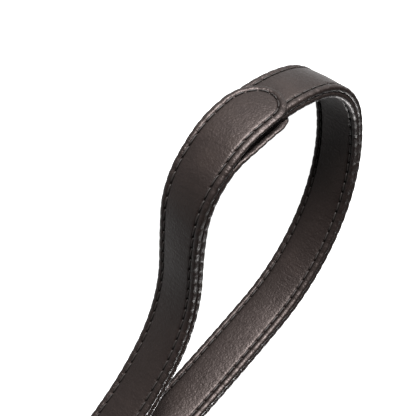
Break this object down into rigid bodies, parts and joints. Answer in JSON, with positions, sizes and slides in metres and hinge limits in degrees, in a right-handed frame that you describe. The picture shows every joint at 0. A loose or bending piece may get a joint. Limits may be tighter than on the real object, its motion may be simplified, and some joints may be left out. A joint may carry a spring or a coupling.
{
  "type": "training leash",
  "caption": "Leather training leash with a sewn hand loop, a padded turned-edge strap and a swivel bolt snap at its far end.",
  "frame": {"origin": "on the strap's lower edge at the throat of the hand loop, in the seam between its two strands", "axes": "+Z along the strap's width, away from the surface it stands on; +X from the hand loop towards the coil"},
  "size_m": [0.4059, 0.202, 0.018],
  "materials": {
    "nappa_leather": "satin",
    "filler_leather": "matte",
    "waxed_thread": "satin",
    "nickel_plate": "polished",
    "spring_steel": "satin"
  },
  "bodies": {
    "strap": {"grip_face_skin": "nappa_leather", "grip_lining_skin": "nappa_leather", "return_face_skin": "nappa_leather", "return_lining_skin": "nappa_leather", "grip_face_filler": "filler_leather", "grip_lining_filler": "filler_leather", "return_face_filler": "filler_leather", "return_lining_filler": "filler_leather", "grip_face_thread": "waxed_thread", "grip_lining_thread": "waxed_thread", "return_face_thread": "waxed_thread", "return_lining_thread": "waxed_thread", "joint_thread": "waxed_thread", "fold_thread": "waxed_thread", "leash_strap_lead": "nappa_leather", "leash_strap_coil": "nappa_leather", "leash_strap_tail": "nappa_leather", "hook_end_fold": "nappa_leather", "joint_rivet_post": "nickel_plate", "joint_rivet_cap": "nickel_plate"},
    "eye": {"swivel_eye": "nickel_plate"},
    "snap": {"swivel_post": "nickel_plate", "snap_body": "nickel_plate", "bolt_spring": "spring_steel"},
    "bolt": {"snap_bolt": "nickel_plate", "thumb_knob": "nickel_plate"}
  },
  "joints": [
    {"name": "eye_hinge", "type": "hinge", "parent": "strap", "child": "eye", "pos_m": [0.1226, 0.079, 0.009], "axis": [0, 0, 1], "range_deg": [-40, 40]},
    {"name": "swivel_spin", "type": "hinge", "parent": "eye", "child": "snap", "pos_m": [0.1226, 0.079, 0.009], "axis": [-1, 0, 0], "continuous": true},
    {"name": "bolt_slide", "type": "slide", "parent": "snap", "child": "bolt", "axis": [1, 0, 0], "range_m": [0, 0.009], "stiffness_N_per_m": 400, "springref_m": -0.0075, "deforming": ["bolt_spring"]}
  ]
}
